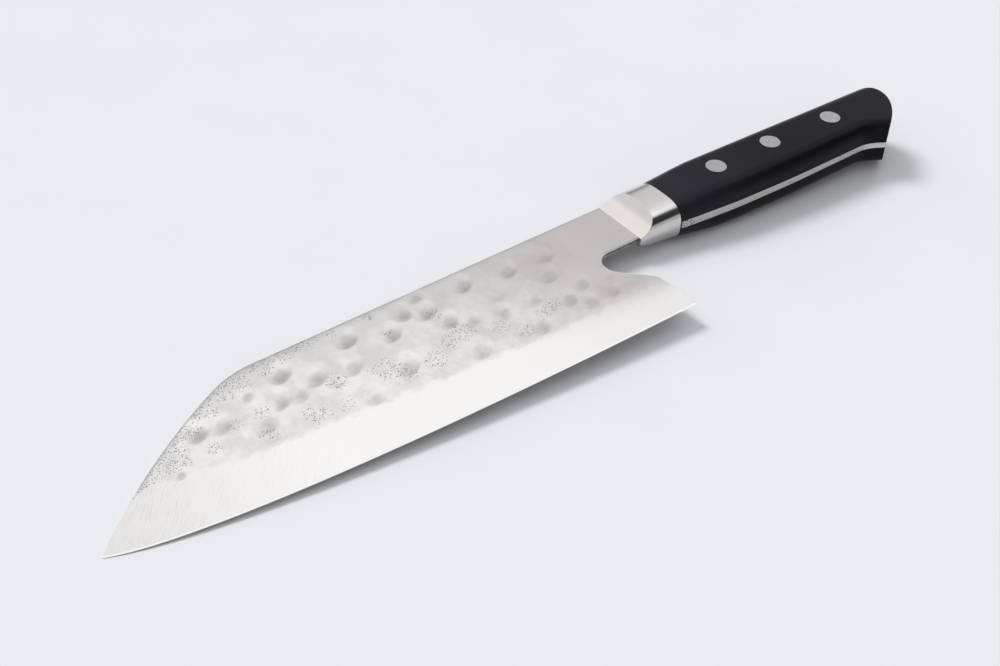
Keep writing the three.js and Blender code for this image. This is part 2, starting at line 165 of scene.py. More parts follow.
# Order of the finishes on the blade and on the bolster
HAMMERED, GROUND, RIM, WALL, HONED = range(5)
BODY_FINISH, COVE_FINISH = range(2)


def size(name, description, default):
    """A length that a user may change, given in millimetres."""
    return bpy.props.FloatProperty(
        name=name, description=description, default=default * MM, unit="LENGTH", precision=5
    )


def angle(name, description, degrees):
    """An angle that a user may change."""
    return bpy.props.FloatProperty(
        name=name, description=description, default=math.radians(degrees), subtype="ANGLE"
    )


def share(name, description, default):
    """A plain number that a user may change."""
    return bpy.props.FloatProperty(name=name, description=description, default=default)


def colour(name, description, default):
    """A colour that a user may change."""
    return bpy.props.FloatVectorProperty(
        name=name, description=description, default=default, subtype="COLOR", size=3, min=0, max=1
    )


class BladeSizes(bpy.types.PropertyGroup):
    """Sizes of the blade."""

    tip_reach: size("Tip reach", "From the bolster forward to the tip", 175.7)
    tip_drop: size("Tip drop", "From the spine down to the tip", 36.1)
    shoulder_reach: size("Shoulder reach", "From the bolster to where the spine starts to fall", 116.4)
    shoulder_radius: size("Shoulder radius", "Bend between the spine and the tip line", 28)
    tip_line_radius: size("Tip line radius", "Bend of the long line that falls to the tip", 200)
    heel_reach: size("Heel reach", "From the bolster forward to the heel", 6.2)
    heel_drop: size("Heel drop", "From the spine down to the heel", 48.3)
    edge_flat: size("Edge flat", "How far the edge leaves the heel level", 64)
    edge_sweep: size("Edge sweep", "How far the edge keeps its slope at the tip", 23)
    edge_tip_angle: angle("Edge tip angle", "Slope of the edge at the tip", 25)
    neck_height: size("Neck height", "Blade at the bolster, from the spine down", 17.5)
    notch_reach: size("Notch reach", "From the bolster forward to the end of the finger notch", 16.2)
    notch_radius: size("Notch radius", "Bend at the end of the finger notch", 5)
    heel_top_reach: size("Heel top reach", "From the bolster forward to the corner over the heel", 6.9)
    heel_top_drop: size("Heel top drop", "From the spine down to the corner over the heel", 34.1)
    heel_top_ease: size("Heel top ease", "How far that corner is eased", 1.8)
    neck_thickness: size("Neck thickness", "Blade at the bolster", 2.2)
    tip_thickness: size("Tip thickness", "Blade at the tip", 1.2)
    heel_grind: size("Heel grind", "Height of the ground bevel at the heel", 11.5)
    tip_grind: size("Tip grind", "Height of the ground bevel at the tip", 18.8)
    honed_height: size("Honed height", "Height of the honed strip at the edge", 0.5)
    honed_thickness: size("Honed thickness", "Blade at the top of the honed strip", 0.24)
    notch_round: size("Notch round", "Rounding of the rims of the finger notch", 0.9)
    spine_round: size("Spine round", "Rounding of the other rims", 0.45)
    roll_width: size("Roll width", "How far in from the spine the forged faces start to fall", 3)
    roll_depth: size("Roll depth", "How far they fall", 0.12)
    rim_shade_width: size("Rim width", "Width of the dark line along the spine", 0.8)
    peen_depth: size("Peen depth", "Depth of a round hammer mark of 3 mm radius", 0.32)
    unevenness: size("Unevenness", "Height of the waves that forging leaves", 0.14)
    wave_length: size("Wave length", "Length of those waves", 10)


class HandleSizes(bpy.types.PropertyGroup):
    """Sizes of the bolster, the tang, the scales and the rivets."""

    reach: size("Reach", "From the bolster's front to the butt", 109.6)
    bolster_length: size("Bolster length", "Bolster along the handle", 14.8)
    land_width: size("Land width", "Flat left between the two coves at the blade", 2.3)
    cove_length: size("Cove length", "Cove along the handle", 6.8)
    cove_height: size("Cove height", "Cove's upper end, out from the middle", 6)
    cove_sag: size("Cove sag", "Depth of the cove's hollow", 0.7)
    front_thickness: size("Front thickness", "Handle across, at the bolster's front", 12)
    grip_thickness: size("Grip thickness", "Handle across, behind the swell", 15)
    swell_length: size("Swell length", "Length of the swell from the front", 33)
    front_round: size("Front round", "Rounding of the section at the front", 6)
    grip_round: size("Grip round", "Rounding of the section behind the swell", 4.3)
    spine_fullness: share("Spine fullness", "Exponent of the front's oval section, upper half", 3)
    belly_fullness: share("Belly fullness", "Exponent of the front's oval section, lower half", 2.6)
    front_top_drop: size("Front top drop", "Top of the handle below the spine at the front", 0.5)
    shoulder_lift: size("Shoulder lift", "How far the bolster's top rises at its front", 0.45)
    butt_top_drop: size("Butt top drop", "Top of the handle below the spine at the butt", 3.4)
    front_belly_drop: size("Front belly drop", "Belly below the spine at the front", 18.8)
    palm_belly_drop: size("Palm belly drop", "Belly below the spine behind the bolster", 21.4)
    palm_reach: size("Palm reach", "Where the belly's first fall ends", 40)
    grip_belly_drop: size("Grip belly drop", "Belly below the spine along the grip", 22.4)
    deepening_start: size("Deepening start", "Where the belly falls on to its full depth", 25)
    deepening_end: size("Deepening end", "Where the belly has its full depth", 65)
    flare_reach: size("Flare reach", "From the front to the flare of the butt", 91.4)
    flare_ease: size("Flare ease", "Half length of the bend into the flare", 3.2)
    flare_angle: angle("Flare angle", "Slope of the flare", 30)
    butt_run: size("Butt run", "Rounding of the butt's top along the handle", 11)
    butt_rise: size("Butt rise", "Rounding of the butt's top, downwards", 6.8)
    butt_fullness: size("Butt fullness", "How far the butt stays full below that rounding", 7.5)
    beak_reach: size("Beak reach", "From the front to the lower corner of the butt", 96.5)
    beak_drop: size("Beak drop", "Lower corner of the butt below the spine", 25.8)
    butt_rim: size("Butt rim", "Rounding of the rim of the butt", 1.1)
    tang_front: size("Tang front", "Tang across, at the front", 2.6)
    tang_butt: size("Tang butt", "Tang across, at the butt", 1.7)
    tang_gap: size("Tang gap", "Gap between the bolster and the tang", 0.5)
    seam: size("Seam", "Gap where two pieces of the handle meet", 0.04)
    seam_round: size("Seam round", "Rounding of the edges at a seam", 0.1)
    head_radius: size("Rivet head radius", "Radius of a rivet's head", 3.2)
    head_depth: size("Rivet head depth", "Depth of a rivet's head", 2.2)
    shank_radius: size("Rivet shank radius", "Radius of a rivet between its heads", 2.3)


class KnifeColours(bpy.types.PropertyGroup):
    """Colours of the finishes."""

    hammered: colour("Hammered steel", "Forged sides of the blade", (0.83, 0.82, 0.81))
    neck: colour("Neck steel", "Forged sides by the bolster", (0.54, 0.515, 0.51))
    browned: colour("Browned steel", "Stains of the forge by the bolster", (0.50, 0.44, 0.39))
    scale: colour("Forge scale", "Black oxide left in the pits", (0.11, 0.107, 0.103))
    ground: colour("Ground steel", "Bevels of the blade", (0.895, 0.885, 0.875))
    bolster: colour("Bolster steel", "Brushed body of the bolster", (0.67, 0.65, 0.64))
    cove: colour("Cove steel", "Polished coves of the bolster", (0.76, 0.73, 0.70))
    tang: colour("Tang steel", "Edge of the tang", (0.62, 0.61, 0.60))
    grip: colour("Grip black", "Scales of the handle", (0.0045, 0.0045, 0.006))
    rivet: colour("Rivet steel", "Heads of the rivets", (0.50, 0.48, 0.51))
    floor: colour("Floor", "Floor of the studio", (0.60, 0.61, 0.635))
    light: colour("Light", "Light of the studio", (1.0, 1.0, 1.0))


class StageSettings(bpy.types.PropertyGroup):
    """The studio and its camera."""

    azimuth: angle("Azimuth", "Camera round the knife", -40.61)
    elevation: angle("Elevation", "Camera above the floor", 39.19)
    roll: angle("Roll", "Tilt of the picture", 4.44)
    distance: size("Distance", "Camera to the point it looks at", 401.67)
    target: bpy.props.FloatVectorProperty(
        name="Target", description="Point on the floor that the camera looks at",
        default=(-0.02044, 0.00139, 0), unit="LENGTH", subtype="TRANSLATION", size=3
    )
    lens: share("Lens", "Focal length in millimetres on a 36 mm sensor", 54)
    lamp_energy: share("Lamp energy", "Strength of the lamp on the far side", 2.2)
    lamp_angle: angle("Lamp angle", "Width of that lamp", 20)
    floor_size: size("Floor size", "Side of the square floor", 12000)


def lerp(a, b, t):
    """A value part of the way from one to another."""
    return a + (b - a) * t


def smoothstep(x, low, high):
    """An eased step from 0 to 1."""
    t = np.clip((x - low) / (high - low), 0, 1)
    return t * t * (3 - 2 * t)


# Modelling


def only(*pieces):
    """Selects these objects alone and makes the first one active."""
    bpy.ops.object.select_all(action="DESELECT")
    for piece in pieces:
        piece.select_set(True)
    bpy.context.view_layer.objects.active = pieces[0]


@contextmanager
def editing(piece, mode="EDGE"):
    """Edit mode on one piece, with nothing selected in it. Gives its editable mesh."""
    only(piece)
    bpy.ops.object.mode_set(mode="EDIT")
    bpy.ops.mesh.select_mode(type=mode)
    bpy.ops.mesh.select_all(action="DESELECT")
    made = bmesh.from_edit_mesh(piece.data)
    made.verts.ensure_lookup_table()
    yield made
    bpy.ops.object.mode_set(mode="OBJECT")


def pick(made, elements):
    """Selects vertices, edges or faces of a mesh in edit mode."""
    for element in elements:
        element.select_set(True)
    made.select_flush_mode()


def renamed(piece, name):
    """Gives an object and its mesh one name."""
    piece.name = name
    piece.data.name = name
    return piece


def added(name, primitive, **settings):
    """Adds a primitive with nothing else selected."""
    bpy.ops.object.select_all(action="DESELECT")
    primitive(**settings)
    return renamed(bpy.context.object, name)


def copied(piece):
    """A copy of a piece with its own mesh."""
    other = piece.copy()
    other.data = piece.data.copy()
    bpy.context.scene.collection.objects.link(other)
    return other


def applied(piece):
    """Puts an object's place, turn and scale into its mesh."""
    only(piece)
    bpy.ops.object.transform_apply(location=True, rotation=True, scale=True)
    return piece


def placed(piece, place):
    """Moves the mesh of a piece by a matrix."""
    piece.matrix_world = place
    return applied(piece)


def points_of(piece):
    """The points of a piece, one in each row."""
    points = np.empty(len(piece.data.vertices) * 3)
    piece.data.vertices.foreach_get("co", points)
    return points.reshape(-1, 3)


def move_points(piece, points):
    """Puts the points of a piece in these places."""
    piece.data.vertices.foreach_set("co", points.astype(np.float32).ravel())


def modified(piece, kind, **settings):
    """Adds a modifier with these settings and applies it."""
    only(piece)
    modifier = piece.modifiers.new(kind.title(), kind)
    for name, value in settings.items():
        setattr(modifier, name, value)
    bpy.ops.object.modifier_apply(modifier=modifier.name)
    return piece


def cut(piece, tool, operation):
    """A Boolean with a tool, which is used up."""
    modified(piece, "BOOLEAN", operation=operation, solver="MANIFOLD", object=tool)
    bpy.data.objects.remove(tool)
    return piece


def loft(name, rings):
    """Circles drawn out to rings of points, bridged in order."""
    count = len(rings[0])
    body = added(name, bpy.ops.mesh.primitive_circle_add, vertices=count)
    bpy.ops.object.mode_set(mode="EDIT")
    for _ in rings[1:]:
        bpy.ops.mesh.primitive_circle_add(vertices=count)
    bpy.ops.object.mode_set(mode="OBJECT")
    move_points(body, np.concatenate(rings))
    bpy.ops.object.mode_set(mode="EDIT")
    bpy.ops.mesh.select_all(action="SELECT")
    bpy.ops.mesh.bridge_edge_loops(type="SINGLE")
    bpy.ops.object.mode_set(mode="OBJECT")
    return body


def closed(piece):
    """Fills what is open and turns every face outwards."""
    with editing(piece):
        bpy.ops.mesh.select_all(action="SELECT")
        bpy.ops.mesh.fill_holes(sides=0)
        bpy.ops.mesh.select_all(action="SELECT")
        bpy.ops.mesh.normals_make_consistent(inside=False)
    return piece


def bisected(piece, point, normal, keep_ahead):
    """Cuts a piece by a plane, keeps one side of it and fills the cut."""
    with editing(piece):
        bpy.ops.mesh.select_all(action="SELECT")
        bpy.ops.mesh.bisect(
            plane_co=point, plane_no=normal, use_fill=True,
            clear_inner=keep_ahead, clear_outer=not keep_ahead
        )
    return piece


def bevelled(piece, width, degrees):
    """Rounds the edges that turn by more than an angle."""
    return modified(
        piece, "BEVEL", width=width, segments=SEAM_SEGMENTS, limit_method="ANGLE",
        angle_limit=math.radians(degrees), use_clamp_overlap=True, harden_normals=False,
        miter_outer="MITER_ARC"
    )


def smooth(piece, degrees):
    """Smooth shading, with sharp edges kept."""
    only(piece)
    bpy.ops.object.shade_smooth_by_angle(angle=math.radians(degrees))
    return piece


def laid():
    """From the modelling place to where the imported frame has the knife."""
    mount = next(m for m in frame["record"]["mounts"] if m["name"] == "grip_left_side")
    axis = Vector(mount["axis"])
    pitch = math.atan2(-axis.x, axis.z)
    turn = Matrix.Rotation(-pitch, 4, "Y")
    return Matrix.Translation(mount["pos_m"]) @ turn @ Matrix.Translation(-GRIP_POINT)


def finished(piece, finishes, choose=lambda face: 0):
    """Gives a piece its finishes and picks one for each face, the first if not told."""
    piece.data.materials.clear()
    for finish in finishes:
        piece.data.materials.append(finish)
    for face in piece.data.polygons:
        face.material_index = choose(face)
    return piece


def fitted(piece, slot, *nodes):
    """Lays a finished piece in the frame, in place of its CAD nodes."""
    placed(piece, laid())
    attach(piece, BODY)
    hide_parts(*nodes)
    return piece


# Lines


def bezier(points, t):
    """A point on the curve with these control points."""
    while len(points) > 1:
        points = [lerp(a, b, t) for a, b in zip(points, points[1:])]
    return points[0]


def pointing(turn):
    """The flat unit vector at an angle."""
    return np.array([math.cos(turn), math.sin(turn)])


def heading(v):
    """The angle of a flat vector, from 0 to a full turn."""
    return math.atan2(v[1], v[0]) % (2 * math.pi)


def unit(v):
    """A flat vector drawn to a length of 1."""
    return v / np.linalg.norm(v)


def arc(centre, radius, start, end):
    """Points along an arc, both ends included."""
    count = max(2, math.ceil(abs(end - start) * radius / OUTLINE_STEP))
    return [centre + radius * pointing(turn) for turn in np.linspace(start, end, count + 1)]


def border(low, high, holds):
    """Where a test stops holding between two values, found by halving."""
    for _ in range(HALVINGS):
        middle = (low + high) / 2
        if holds(middle):
            low = middle
        else:
            high = middle
    return low


# Blade


def edge_points(blade):
    """Control points of the edge in side view, from the heel to the tip."""
    heel = np.array([-blade.heel_reach, -blade.heel_drop])
    tip = np.array([-blade.tip_reach, -blade.tip_drop])
    sweep = blade.edge_sweep * pointing(-blade.edge_tip_angle)
    return [heel, heel - np.array([blade.edge_flat, 0]), tip + sweep, tip]


def ground_at(blade, x):
    """The edge's height and the height of the bevel over it, at places along the blade."""
    control = edge_points(blade)
    curve = np.array([bezier(control, t) for t in np.linspace(1, 0, EDGE_STEPS)])
    heel_x, tip_x = control[0][0], control[-1][0]
    edge = np.interp(x, curve[:, 0], curve[:, 1])
    return edge, lerp(blade.heel_grind, blade.tip_grind, (x - heel_x) / (tip_x - heel_x))


def blank_outline(blade, spare, tail):
    """The forged blank in side view. It runs below the edge, so that grinding alone makes the edge."""
    heel, heel_arm, tip_arm, tip = edge_points(blade)
    below = np.array([0, -spare])
    small = blade.shoulder_radius
    wide = blade.tip_line_radius
    shoulder = np.array([-blade.shoulder_reach, -small])
    away = tip - shoulder
    far = np.linalg.norm(away)
    apart = wide - small
    swing = heading(away) + math.acos((apart ** 2 + far ** 2 - wide ** 2) / (2 * apart * far))
    wide_centre = shoulder + apart * pointing(swing)
    join = heading(shoulder - wide_centre)
    spoke = tip - wide_centre
    onward = spare * np.array([-spoke[1], spoke[0]]) / np.linalg.norm(spoke)
    notch = np.array([blade.notch_radius - blade.notch_reach, -blade.neck_height - blade.notch_radius])
    heel_top = np.array([-blade.heel_top_reach, -blade.heel_top_drop])
    rear = unit(heel - heel_top)
    from_notch = heel_top - notch
    entry = heading(from_notch) - math.acos(blade.notch_radius / np.linalg.norm(from_notch))
    slant = unit(notch + blade.notch_radius * pointing(entry) - heel_top)
    ease = [heel_top + blade.heel_top_ease * rear, heel_top, heel_top + blade.heel_top_ease * slant]
    points = [np.array([x, 0.0]) for x in np.linspace(tail, -blade.shoulder_reach, SPINE_STEPS)[:-1]]
    points += arc(shoulder, small, math.pi / 2, join)
    points += arc(wide_centre, wide, join, heading(spoke))[1:]
    points += [tip + onward, tip_arm + below, heel_arm + below]
    points += [lerp(heel + spare * rear, ease[0], t) for t in np.linspace(0, 1, HEEL_STEPS)[:-1]]
    points += [bezier(ease, t) for t in np.linspace(0, 1, EASE_STEPS)]
    points += arc(notch, blade.notch_radius, entry, math.pi / 2)
    points += [np.array([tail, -blade.neck_height])]
    return np.array(points)


def half_thickness(blade, x):
    """Half of the blade's thickness before hammering and grinding."""
    return lerp(blade.neck_thickness, blade.tip_thickness, -x / blade.tip_reach) / 2


def slipped(ahead, below):
    """Turns flat places so that the marks drawn out along the slip become round."""
    along = ahead * math.cos(SLIP) + below * math.sin(SLIP)
    across = below * math.cos(SLIP) - ahead * math.sin(SLIP)
    return along / SLIP_STRETCH, across


def forged_slab(blade):
    """The two hammered faces with the steel between them, larger than the blade."""
    left, right = -SLAB_REACH, SLAB_REACH - HAMMERED_ENDS
    low, high = -SLAB_DROP, SLAB_RISE
    face = added(
        "forged_slab", bpy.ops.mesh.primitive_grid_add,
        x_subdivisions=round((right - left) / SHEET_CELL),
        y_subdivisions=round((high - low) / SHEET_CELL),
        size=1, location=((left + right) / 2, (low + high) / 2, 0)
    )
    face.scale = (right - left, high - low, 1)
    applied(face)
    waves = bpy.data.textures.new("forging_waves", "CLOUDS")
    waves.noise_scale = blade.wave_length
    waves.noise_depth = 2
    modified(
        face, "DISPLACE", texture=waves, texture_coords="LOCAL", direction="Z",
        strength=blade.unevenness, mid_level=0.5
    )
    struck(face, DENTS, "SMOOTH")
    turn = Matrix.Rotation(-SLIP, 4, "Z")
    squeeze = Matrix.Diagonal((1 / SLIP_STRETCH, 1, 1, 1))
    for change in (turn, squeeze):
        placed(face, change)
    marks = []
    for ahead, below, radius, force in BLOWS:
        depth = force * blade.peen_depth * (radius / PEEN_RADIUS) ** 2
        marks.append((*slipped(ahead, below), radius, depth / MM))
    struck(face, marks, "INVERSE_SQUARE")
    for change in (squeeze, turn):
        placed(face, change.inverted())
    other = copied(face)
    taper = math.atan2((blade.neck_thickness - blade.tip_thickness) / 2, blade.tip_reach)
    lift = Matrix.Translation((0, 0, blade.neck_thickness / 2)) @ Matrix.Rotation(-taper, 4, "Y")
    flip = Matrix.Translation((-HAMMERED_ENDS, 0, 0)) @ Matrix.Rotation(math.pi, 4, "Y")
    lower = Matrix.Translation((0, 0, -blade.neck_thickness / 2)) @ Matrix.Rotation(taper, 4, "Y")
    placed(face, lift)
    placed(other, lower @ flip)
    only(face, other)
    bpy.ops.object.join()
    roll_rims(face, blade)
    with editing(face):
        bpy.ops.mesh.select_non_manifold()
        bpy.ops.mesh.bridge_edge_loops(type="PAIRS")
    return closed(face)


def struck(face, marks, falloff):
    """Pushes marks into a flat face: ahead, below, radius and depth of each in mm."""
    places = points_of(face)[:, :2]
    with editing(face, "VERT") as made:
        for ahead, below, radius, depth in marks:
            centre = np.array([-ahead, -below]) * MM
            nearest = int(((places - centre) ** 2).sum(1).argmin())
            bpy.ops.mesh.select_all(action="DESELECT")
            pick(made, [made.verts[nearest]])
            bpy.ops.transform.translate(
                value=(0, 0, -depth * MM), use_proportional_edit=True,
                proportional_edit_falloff=falloff, proportional_size=radius * MM
            )


def inward(blade, places):
    """How far each of these flat places lies from the spine and the tip line."""
    outline = blank_outline(blade, spare=0, tail=0)
    tip = int(outline[:, 0].argmin())
    least = np.full(len(places), np.inf)
    for start, end in zip(outline[:tip], outline[1:tip + 1]):
        length = np.linalg.norm(end - start)
        along = (end - start) / length
        away = places - start
        reach = np.clip(away @ along, 0, length)
        least = np.minimum(least, np.linalg.norm(away - reach[:, None] * along, axis=1))
    return least


def roll_rims(slab, blade):
    """Lets both faces fall a little along the spine and the tip line."""
    points = points_of(slab)
    near = np.clip(1 - inward(blade, points[:, :2]) / blade.roll_width, 0, 1)
    points[:, 2] -= np.sign(points[:, 2]) * blade.roll_depth * near ** 2
    move_points(slab, points)


def blank(blade):
    """A plate with the blade's outline and rounded rims, a little thicker than the slab."""
    over = 0.5 * blade.unevenness
    outline = blank_outline(blade, SPARE, TAIL)
    circle = bpy.ops.mesh.primitive_circle_add
    plate = added("forged_blank", circle, vertices=len(outline), fill_type="NGON")
    move_points(plate, np.column_stack([outline, np.zeros(len(outline))]))
    with editing(plate):
        bpy.ops.mesh.select_all(action="SELECT")
        bpy.ops.mesh.extrude_region_move(TRANSFORM_OT_translate={"value": (0, 0, MM)})
    for vertex in plate.data.vertices:
        half = half_thickness(blade, vertex.co.x) + over
        vertex.co.z = half if vertex.co.z > MM / 2 else -half
    closed(plate)
    with editing(plate) as made:
        weight = made.edges.layers.float.new("bevel_weight_edge")
        for edge in made.edges:
            low, high = edge.verts
            if low.co.z * high.co.z > 0:
                edge[weight] = rim_share(blade, (low.co + high.co) / 2)
    return modified(
        plate, "BEVEL", width=blade.notch_round, segments=RIM_SEGMENTS, limit_method="WEIGHT",
        use_clamp_overlap=True
    )


def rim_share(blade, point):
    """How much of the notch's rounding a rim has at a point: all in the notch, less elsewhere."""
    least = blade.spine_round / blade.notch_round
    under_neck = smoothstep(-point.y, blade.neck_height - NECK_FADE, blade.neck_height)
    over_edge = 1 - smoothstep(-point.y, blade.heel_top_drop, blade.heel_drop)
    behind = smoothstep(point.x, *(-blade.notch_reach - ahead for ahead in NOTCH_FADE))
    return lerp(least, 1, under_neck * over_edge * behind)


def notch_wall(blade, face):
    """Whether a face of the blank is the upright wall of the finger notch."""
    return abs(face.normal.z) < WALL_SLOPE and rim_share(blade, face.center) > NOTCH_SHARE


def grinding_wedge(blade):
    """The space that the grinding stone leaves: two bevels and the honed strip where they meet."""
    honed = blade.honed_thickness / 2
    stations = np.arange(-blade.tip_reach - 2 * GRIND_STEP, SPARE, GRIND_STEP)
    rings = []
    for x, edge, height in zip(stations, *ground_at(blade, stations)):
        slope = (half_thickness(blade, x) - honed) / (height - blade.honed_height)
        left = [(x, edge + blade.honed_height + level, honed + slope * level) for level in GRIND_LEVELS]
        right = [(x, y, -z) for x, y, z in left]
        rings.append([(x, edge, 0), *right, *reversed(left)])
    return closed(loft("grinding_wedge", rings))


def spread(piece, name, amount):
    """Keeps a number for each point of a piece, for its finish to read."""
    kept = piece.data.attributes.new(name, "FLOAT", "POINT")
    kept.data.foreach_set("value", amount.astype(np.float32))


def surveyed(piece, blade):
    """Writes what forging and grinding left at each point of the blade, and where shade is painted: in the
    hammer marks and along the spine.
    """
    points = points_of(piece)
    x, y, z = points.T
    ahead = np.where(z > 0, -x, HAMMERED_ENDS + x) / MM
    below = -y / MM
    scale = np.zeros(len(x))
    for reach, drop, radius in SCALE_PATCHES:
        away = np.hypot(ahead - reach, below - drop)
        scale = np.maximum(scale, 1 - smoothstep(away, *(part * radius for part in PATCH_FADE)))
    rim = inward(blade, points[:, :2])
    rim_scale = (1 - smoothstep(rim, *RIM_SCALE_FADE)) * smoothstep(ahead, *RIM_SCALE_START)
    spread(piece, "forge_scale", np.maximum(scale, RIM_SCALE_STRENGTH * rim_scale))
    # Painted shade: each blow's dark half, shifted towards the edge, where the dimple reflects the dim far
    # side
    marks = np.zeros(len(x))
    for reach, drop, radius, force in BLOWS:
        away = np.hypot(*slipped(ahead - reach, below - drop - MARK_SHADE_SHIFT * radius))
        painted_shade = 1 - smoothstep(away, *(part * radius for part in MARK_SHADE_FADE))
        marks = np.maximum(marks, force * painted_shade)
    spread(piece, "hammer_mark_shade", marks)
    # A painted shade line along the spine and the tip line
    spread(piece, "rim_shade_line", 1 - smoothstep(rim, RIM_SHADE_CORE, blade.rim_shade_width))
    edge, height = ground_at(blade, x)
    spread(piece, "grind_height", (y - edge) / height)


def between_finishes(edge):
    """Whether an edge lies where one finish meets another."""
    return len({face.material_index for face in edge.link_faces}) > 1


class KNIFE_OT_blade(bpy.types.Operator):
    """Forges, hammers and grinds the blade"""

    bl_idname = "knife.blade"
    bl_label = "Hammered blade"

    def execute(self, context):
        blade = context.scene.knife_blade
        colours = context.scene.knife_colours
        finishes = [
            hammered_steel(colours), ground_steel(colours), rim_steel(colours), wall_steel(colours),
            honed_steel(colours),
        ]
        slab = finished(forged_slab(blade), finishes, lambda face: HAMMERED)
        plate = finished(blank(blade), finishes, lambda face: WALL if notch_wall(blade, face) else RIM)
        wedge = finished(
            grinding_wedge(blade), finishes,
            lambda face: HONED if -face.normal.y > HONED_SLOPE else GROUND
        )
        cut(slab, plate, "INTERSECT")
        cut(slab, wedge, "INTERSECT")
        with editing(slab, "VERT"):
            bpy.ops.mesh.select_all(action="SELECT")
            bpy.ops.mesh.dissolve_degenerate(threshold=LEAST_EDGE)
        renamed(slab, "hammered_blade")
        surveyed(slab, blade)
        smooth(slab, degrees=30)
        with editing(slab) as made:
            pick(made, filter(between_finishes, made.edges))
            bpy.ops.mesh.mark_sharp()
        fitted(slab, "hammered_steel", "blade_core", "cladding_left", "cladding_right")
        return {"FINISHED"}


# Handle


def grip_half(handle, x):
    """Half of the handle's thickness."""
    swell = smoothstep(x, 0, handle.swell_length)
    return lerp(handle.front_thickness, handle.grip_thickness, swell) / 2


def top_at(handle, x):
    """The handle's upper line."""
    line = -lerp(handle.front_top_drop, handle.butt_top_drop, x / handle.reach)
    lifted = 1 - smoothstep(x, handle.cove_length / 2, handle.bolster_length)
    return line + handle.shoulder_lift * lifted


def belly_at(handle, x):
    """The handle's lower line, with the flare of the butt."""
    palm = lerp(handle.front_belly_drop, handle.palm_belly_drop, smoothstep(x, 0, handle.palm_reach))
    deeper = smoothstep(x, handle.deepening_start, handle.deepening_end)
    belly = palm + (handle.grip_belly_drop - handle.palm_belly_drop) * deeper
    ease = handle.flare_ease
    past = x - handle.flare_reach
    bend = (np.clip(past, -ease, ease) + ease) ** 2 / (4 * ease)
    return -belly - math.tan(handle.flare_angle) * (bend + np.maximum(0, past - ease))


def butt_at(handle, y):
    """Where the butt ends at a height."""
    start = handle.reach - handle.butt_run
    middle = top_at(handle, start) - handle.butt_rise
    if y >= middle:
        up = min(1, (y - middle) / handle.butt_rise)
        return start + handle.butt_run * math.sqrt(1 - up * up)
    beak = np.array([handle.beak_reach, -handle.beak_drop])
    if y <= beak[1]:
        return beak[0]
    back = np.array([handle.reach, middle])
    curve = [back, back - np.array([0, handle.butt_fullness]), beak]
    return bezier(curve, border(0.0, 1.0, lambda t: bezier(curve, t)[1] > y))[0]


def section_point(handle, x, upper, turn, down):
    """A point of the rounded section: on a corner, or part of the way down the flat side."""
    half = grip_half(handle, x)
    swell = smoothstep(x, 0, handle.swell_length)
    rounding = lerp(handle.front_round, handle.grip_round, swell)
    depth = min(rounding, half - LEAST_FLAT)
    top = top_at(handle, x) - rounding
    belly = belly_at(handle, x) + rounding
    if turn is None:
        y, z = lerp(top, belly, down), half
    else:
        y = (top if upper else belly) + rounding * math.cos(turn)
        z = half - depth + depth * math.sin(turn)
    above = y - (top + belly) / 2
    across = min(1, abs(above) / (rounding + (top - belly) / 2))
    power = handle.spine_fullness if above > 0 else handle.belly_fullness
    oval = half * (1 - across ** power) ** (1 / power)
    return y, max(lerp(oval, z, swell), half - depth)


def grip_blank(handle):
    """The whole handle before it is parted: lofted along its length, with a rounded rim at the butt."""
    quarter = math.pi / 2
    places = [(True, quarter * i / CORNER_STEPS, 0) for i in range(CORNER_STEPS + 1)]
    places += [(True, None, i / SIDE_STEPS) for i in range(1, SIDE_STEPS)]
    places += [(False, quarter + quarter * i / CORNER_STEPS, 0) for i in range(CORNER_STEPS + 1)]
    ends = [
        border(
            PLANAR_REACH, handle.reach + MM,
            lambda x: x < butt_at(handle, section_point(handle, x, *place)[0])
        )
        for place in places
    ]
    rows = [[x] * len(places) for x in np.arange(0, PLANAR_REACH, RING_STEP)]
    rows += [[lerp(PLANAR_REACH, end, t) for end in ends] for t in np.linspace(0, 1, BUTT_STEPS)]
    rings = []
    for row in rows:
        left = [(x, *section_point(handle, x, *place)) for x, place in zip(row, places)]
        right = [(x, y, -z) for x, y, z in reversed(left)]
        rings.append(left + right)
    body = loft("grip_blank", rings)
    last = (len(rings) - 1) * len(rings[0])
    with editing(body) as made:
        rim = [e for e in made.edges if min(v.index for v in e.verts) >= last]
        pick(made, [e for e in rim if e.verts[0].co.z * e.verts[1].co.z > 0])
        bpy.ops.mesh.bridge_edge_loops(type="SINGLE")
    closed(body)
    with editing(body) as made:
        rim = [e for e in made.edges if min(v.index for v in e.verts) >= last]
        pick(made, [e for e in rim if e.calc_face_angle(0) > RIM_BEND])
        bpy.ops.mesh.bevel(
            offset=handle.butt_rim, segments=RIM_SEGMENTS, affect="EDGES", clamp_overlap=True
        )
    return body


def tang_plane(handle, side):
    """A point of the tang's side face, and that face's upward normal."""
    slope = (handle.tang_front - handle.tang_butt) / 2 / handle.reach
    return Vector((0, 0, side * handle.tang_front / 2)), Vector((side * slope, 0, 1)).normalized()


def cove_cutter(handle, side):
    """A drum that hollows one side of the bolster's front."""
    low = np.array([0, handle.land_width / 2])
    high = np.array([handle.cove_length, handle.cove_height])
    chord = np.linalg.norm(high - low)
    sag = handle.cove_sag
    radius = (chord ** 2 / 4 + sag ** 2) / (2 * sag)
    out = np.array([low[1] - high[1], high[0] - low[0]]) / chord
    centre = (low + high) / 2 + out * (radius - sag)
    return applied(added(
        "cove_cutter", bpy.ops.mesh.primitive_cylinder_add, vertices=COVE_FACETS, radius=radius,
        depth=DRUM_LENGTH, rotation=(math.pi / 2, 0, 0),
        location=(centre[0], -DRUM_DROP, side * centre[1])
    ))


